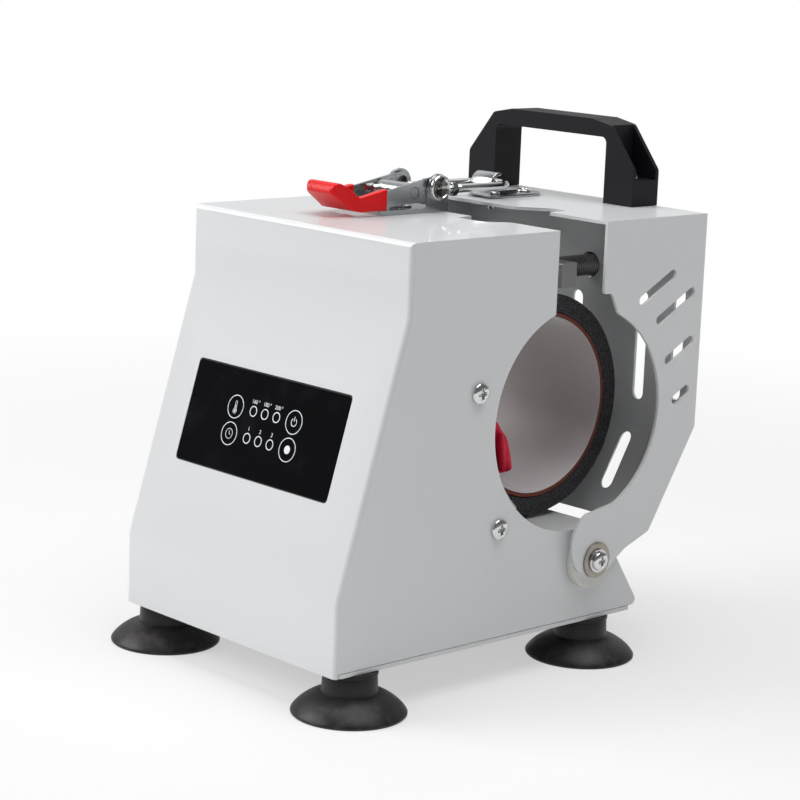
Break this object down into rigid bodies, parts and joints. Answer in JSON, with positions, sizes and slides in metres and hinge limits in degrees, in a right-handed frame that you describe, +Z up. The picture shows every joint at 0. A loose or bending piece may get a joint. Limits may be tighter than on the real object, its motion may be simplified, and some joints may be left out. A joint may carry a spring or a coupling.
{
  "type": "mug heat press",
  "caption": "Bench mug press: white sheet housing with touch panel, hinged jaw with a split heating band, pull latch and carry handle.",
  "frame": {"origin": "centre of the bounding box's underside, on the ground under the feet", "axes": "+X to the right as seen from the front, along the mug's axis; +Y from the front panel to the jaw; +Z up"},
  "size_m": [0.1832, 0.2566, 0.2492],
  "materials": {
    "white": "gloss",
    "glass": "polished",
    "board": "satin",
    "black_plastic": "satin",
    "rubber": "matte",
    "zinc": "polished",
    "bare_steel": "satin",
    "dark_steel": "satin",
    "foam": "matte",
    "silicone": "matte",
    "liner": "satin",
    "sleeve": "satin",
    "red_vinyl": "gloss",
    "nylon": "satin"
  },
  "bodies": {
    "base": {"housing": "white", "inner_panel": "white", "base_plate": "white", "touch_glass": "glass", "control_board": "board", "cord_bushing": "black_plastic", "front_saddle": "bare_steel", "foot_front_left": "rubber", "foot_front_right": "rubber", "foot_rear_left": "rubber", "foot_rear_right": "rubber", "foot_screw_front_left": "zinc", "foot_screw_front_right": "zinc", "foot_screw_rear_left": "zinc", "foot_screw_rear_right": "zinc", "side_screw_upper_left": "zinc", "side_screw_lower_left": "zinc", "side_screw_upper_right": "zinc", "side_screw_lower_right": "zinc", "band_foam_front": "foam", "band_heater_front": "silicone", "band_liner_front": "liner", "lead_sleeve": "sleeve", "latch_base": "zinc", "latch_rivet_left": "zinc", "latch_rivet_right": "zinc", "latch_screw_front": "zinc", "latch_screw_rear": "zinc", "hinge_bolt_left": "zinc", "hinge_bolt_right": "zinc", "hinge_washer_left": "bare_steel", "hinge_washer_right": "bare_steel", "hinge_spacer_left": "nylon", "hinge_spacer_right": "nylon", "hinge_nut_left": "zinc", "hinge_nut_right": "zinc"},
    "lever": {"latch_lever": "zinc", "latch_grip": "red_vinyl"},
    "draw_bolt": {"latch_barrel": "zinc", "draw_bolt": "zinc", "draw_bolt_nut_left": "zinc", "draw_bolt_nut_right": "zinc"},
    "jaw": {"jaw_shell": "white", "catch_plate": "zinc", "catch_screw_near": "zinc", "catch_screw_far": "zinc", "carry_handle": "black_plastic", "handle_screw_left": "zinc", "handle_screw_right": "zinc", "band_foam_rear": "foam", "band_heater_rear": "silicone", "band_liner_rear": "liner", "rear_shell": "dark_steel", "shell_rivet_left": "bare_steel", "shell_rivet_right": "bare_steel", "pressure_nut": "zinc"},
    "bar": {"cross_bar": "bare_steel"},
    "screw": {"pressure_rod": "dark_steel", "pressure_knob": "black_plastic"}
  },
  "joints": [
    {"name": "jaw_open", "type": "hinge", "parent": "base", "child": "jaw", "pos_m": [0, 0.03558, 0.0506], "axis": [-1, 0, 0], "range_deg": [0, 30]},
    {"name": "latch_handle", "type": "hinge", "parent": "base", "child": "lever", "pos_m": [-0.0132, 0.00118, 0.2175], "axis": [-1, 0, 0], "range_deg": [0, 75]},
    {"name": "draw_bolt_swing", "type": "hinge", "parent": "lever", "child": "draw_bolt", "pos_m": [-0.0132, -0.01242, 0.2154], "axis": [1, 0, 0], "range_deg": [0, 150]},
    {"name": "pressure_turn", "type": "hinge", "parent": "bar", "child": "screw", "pos_m": [0.007, 0.05868, 0.1754], "axis": [0, -1, 0], "range_deg": [-1440, 0]},
    {"name": "bar_travel", "type": "slide", "parent": "jaw", "child": "bar", "axis": [0, 1, 0], "range_m": [0, 0.006]}
  ],
  "couplings": [
    {"joint": "latch_handle", "follows": "jaw_open", "ratio": 2.5},
    {"joint": "draw_bolt_swing", "follows": "jaw_open", "ratio": 5},
    {"joint": "pressure_turn", "follows": "bar_travel", "rad_per_m": -4188.8}
  ]
}
